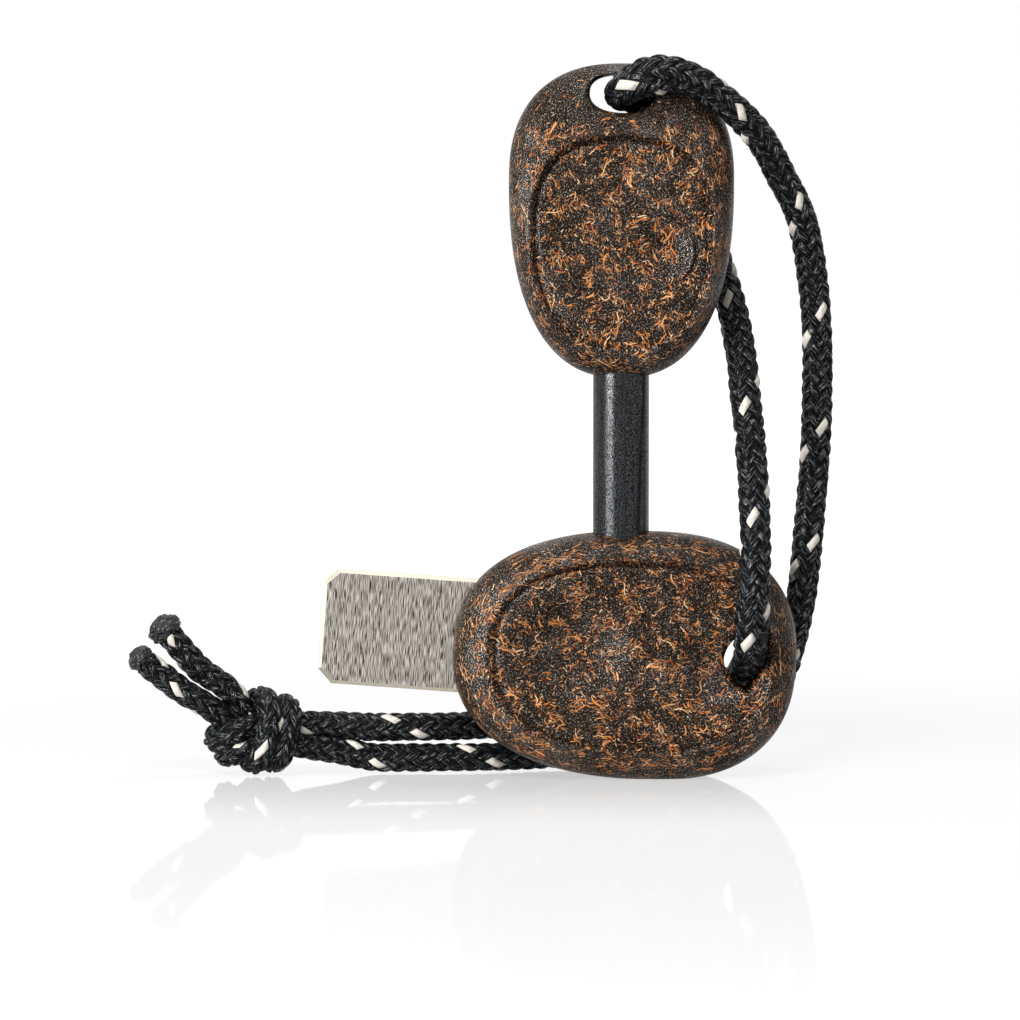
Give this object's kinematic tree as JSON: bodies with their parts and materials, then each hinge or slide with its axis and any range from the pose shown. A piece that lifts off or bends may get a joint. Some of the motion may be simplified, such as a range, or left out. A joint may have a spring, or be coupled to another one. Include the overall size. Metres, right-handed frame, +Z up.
{
  "type": "fire starter",
  "caption": "Ferrocerium rod in an egg-shaped handle, standing in the socket of a striker handle with a steel blade, both tied on one braided cord.",
  "frame": {"origin": "under the middle of the handles, rod and blade, on the surface that the striker handle rests on", "axes": "+Z up along the rod, +X to the right towards the striker's eye, +Y away from the viewer through the thickness of the handles"},
  "size_m": [0.1208, 0.0292, 0.1212],
  "materials": {
    "bioplastic": "satin moulded bioplastic filled with short tan plant fibres",
    "ferrocerium": "matte blackened ferrocerium",
    "steel": "brushed across, bevelled edges",
    "cord": "braided nylon with off-white tracer yarns",
    "melted_cord": "melted and hardened nylon"
  },
  "bodies": {
    "striker": {"striker_handle": "bioplastic", "striker_blade": "steel", "cord_outer_strand": "cord", "cord_inner_strand": "cord", "cord_lower_run": "cord", "cord_upper_run": "cord", "cord_knot": "cord", "cord_tail_low": "cord", "cord_tail_high": "cord", "tail_seal_low": "melted_cord", "tail_seal_high": "melted_cord"},
    "fire_rod": {"rod_handle": "bioplastic", "ferro_rod": "ferrocerium", "cord_bight": "cord"}
  },
  "joints": [
    {"name": "rod_pull", "type": "slide", "parent": "striker", "child": "fire_rod", "axis": [0, 0, 1], "range_m": [0, 0.024]}
  ]
}
